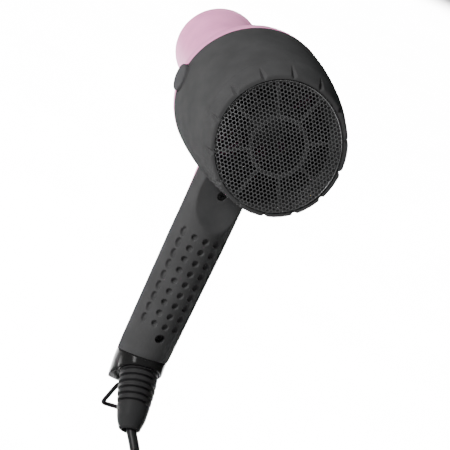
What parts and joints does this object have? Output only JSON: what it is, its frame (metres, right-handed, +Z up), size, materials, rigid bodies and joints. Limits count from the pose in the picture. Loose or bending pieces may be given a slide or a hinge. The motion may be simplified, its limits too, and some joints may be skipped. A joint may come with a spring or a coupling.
{
  "type": "hair dryer",
  "caption": "Pistol-grip hair dryer with a round barrel, pull-off intake screen, straight nozzle, dimpled handle, swinging hanging loop and a mains lead tied in a hank.",
  "frame": {"origin": "middle of the hand grip, on the handle's centre line", "axes": "+X the way the air leaves the nozzle, +Z up from the grip to the barrel, +Y the dryer's left side"},
  "size_m": [0.2083, 0.1091, 0.5049],
  "materials": {
    "soft_charcoal": "soft-touch coated plastic, fine grain",
    "satin_pink": "satin pearl plastic",
    "gloss_black": "high-gloss moulded plastic",
    "black_metal": "black painted perforated steel",
    "inner_black": "moulded nylon",
    "fan_grey": "moulded nylon",
    "steel": "zinc-plated steel",
    "black_steel": "blackened steel",
    "mica": "pressed mica sheet",
    "heater_wire": "nickel-chrome wire",
    "brass": "plain",
    "button_grey": "satin moulded plastic",
    "switch_white": "moulded nylon",
    "board_green": "solder-masked board",
    "relief_rubber": "satin moulded rubber",
    "lead_brown": "insulated wire",
    "cord_black": "smooth vinyl jacket",
    "tie_black": "plastic tie",
    "plug_black": "moulded vinyl",
    "plug_nickel": "nickel-plated brass pins"
  },
  "bodies": {
    "shell": {"rear_housing": "soft_charcoal", "handle_cover": "soft_charcoal", "front_housing": "satin_pink", "base_cap": "gloss_black", "fan_guard": "inner_black", "motor_can": "steel", "fan_duct": "fan_grey", "heater_boards": "mica", "heater_coils": "heater_wire", "mica_sleeve": "mica", "thermostat": "steel", "thermal_fuse": "brass", "outlet_grille": "black_metal", "button_guide": "inner_black", "button_spring": "steel", "micro_switch": "inner_black", "switch_block": "switch_white", "circuit_board": "board_green", "cord_clamp": "inner_black", "clamp_screws": "steel", "housing_screws": "black_steel", "strain_relief": "relief_rubber", "internal_leads": "lead_brown", "power_cord": "cord_black", "cord_hank": "cord_black", "cord_ties": "tie_black", "cord_tail": "cord_black", "mains_plug": "plug_black", "plug_pins": "plug_nickel"},
    "cover": {"intake_collar": "soft_charcoal", "intake_mesh": "black_metal", "mesh_support": "inner_black"},
    "rotor": {"fan_impeller": "fan_grey", "motor_shaft": "steel"},
    "button": {"side_button": "button_grey"},
    "speed_key": {"speed_rocker": "gloss_black"},
    "heat_key": {"heat_rocker": "gloss_black"},
    "loop": {"hanging_loop": "gloss_black"}
  },
  "joints": [
    {"name": "cover_pull", "type": "slide", "parent": "shell", "child": "cover", "axis": [-0.9744, 0, 0.225], "range_m": [0, 0.035]},
    {"name": "fan_spin", "type": "hinge", "parent": "shell", "child": "rotor", "pos_m": [-0.0225, 0, 0.125], "axis": [1, 0, 0], "continuous": true},
    {"name": "cool_shot_press", "type": "slide", "parent": "shell", "child": "button", "axis": [0, -1, 0], "range_m": [0, 0.002], "stiffness_N_per_m": 500, "deforming": ["button_spring"]},
    {"name": "speed_rock", "type": "hinge", "parent": "shell", "child": "speed_key", "pos_m": [0.016, 0, 0.022], "axis": [0, 1, 0], "range_deg": [-8, 8]},
    {"name": "heat_rock", "type": "hinge", "parent": "shell", "child": "heat_key", "pos_m": [0.016, 0, -0.008], "axis": [0, 1, 0], "range_deg": [-8, 8]},
    {"name": "loop_swing", "type": "hinge", "parent": "shell", "child": "loop", "pos_m": [0.0062, 0, -0.0951], "axis": [0, 1, 0], "range_deg": [-30, 55]}
  ]
}
